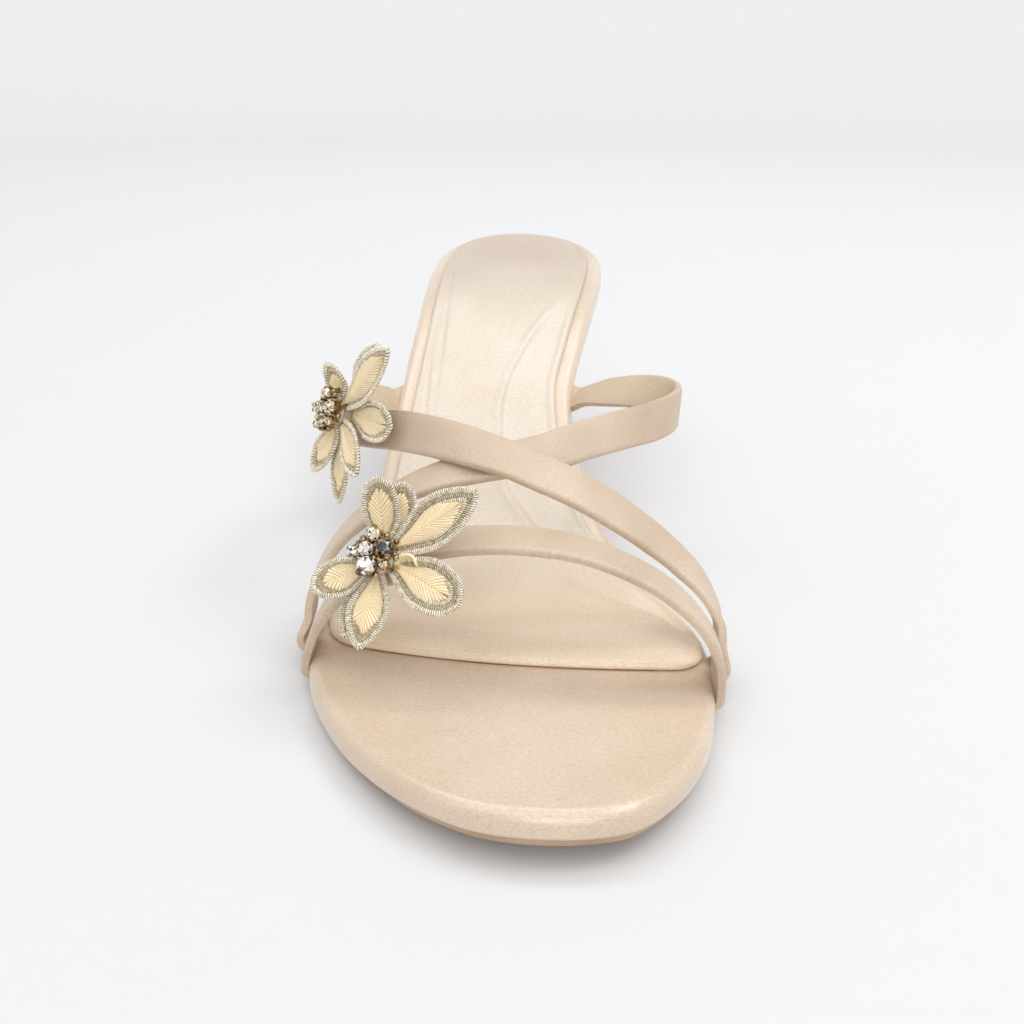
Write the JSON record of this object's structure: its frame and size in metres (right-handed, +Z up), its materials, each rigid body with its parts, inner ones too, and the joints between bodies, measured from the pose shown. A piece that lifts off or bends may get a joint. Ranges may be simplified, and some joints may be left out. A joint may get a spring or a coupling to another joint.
{
  "type": "strappy mule sandal",
  "caption": "Right heeled mule sandal: satin footbed on a slim heel, narrow crossing straps over the instep, and embroidered flowers set with stones.",
  "frame": {"origin": "on the floor, under the ball of the foot, on the outsole's flat underside", "axes": "+X to the inner (medial) side, +Y from the toe to the heel, +Z up"},
  "size_m": [0.091, 0.2348, 0.0639],
  "materials": {
    "satin": "champagne satin with a soft sheen",
    "sock_satin": "pale satin over thin foam",
    "sole_leather": "smooth, tan edge",
    "tip_rubber": "matte",
    "raffia": "stitched raffia with a coiled thread border",
    "gold": "aged, polished",
    "stone": "clear, cut"
  },
  "bodies": {
    "root": {"outsole": "sole_leather", "footbed": "satin", "sock": "sock_satin", "upper_straps": "satin", "heel": "satin", "heel_tip": "tip_rubber", "flower_front_spool": "satin", "flower_front_petal_1": "raffia", "flower_front_petal_2": "raffia", "flower_front_petal_3": "raffia", "flower_front_petal_4": "raffia", "flower_front_petal_5": "raffia", "flower_front_petal_6": "raffia", "flower_front_petal_7": "raffia", "flower_front_setting_1": "gold", "flower_front_setting_2": "gold", "flower_front_setting_3": "gold", "flower_front_setting_4": "gold", "flower_front_setting_5": "gold", "flower_front_setting_6": "gold", "flower_front_stone_1": "stone", "flower_front_stone_2": "stone", "flower_front_stone_3": "stone", "flower_front_stone_4": "stone", "flower_front_stone_5": "stone", "flower_front_stone_6": "stone", "flower_back_spool": "satin", "flower_back_petal_1": "raffia", "flower_back_petal_2": "raffia", "flower_back_petal_3": "raffia", "flower_back_petal_4": "raffia", "flower_back_petal_5": "raffia", "flower_back_petal_6": "raffia", "flower_back_petal_7": "raffia", "flower_back_setting_1": "gold", "flower_back_setting_2": "gold", "flower_back_setting_3": "gold", "flower_back_setting_4": "gold", "flower_back_setting_5": "gold", "flower_back_setting_6": "gold", "flower_back_stone_1": "stone", "flower_back_stone_2": "stone", "flower_back_stone_3": "stone", "flower_back_stone_4": "stone", "flower_back_stone_5": "stone", "flower_back_stone_6": "stone"}
  },
  "joints": []
}
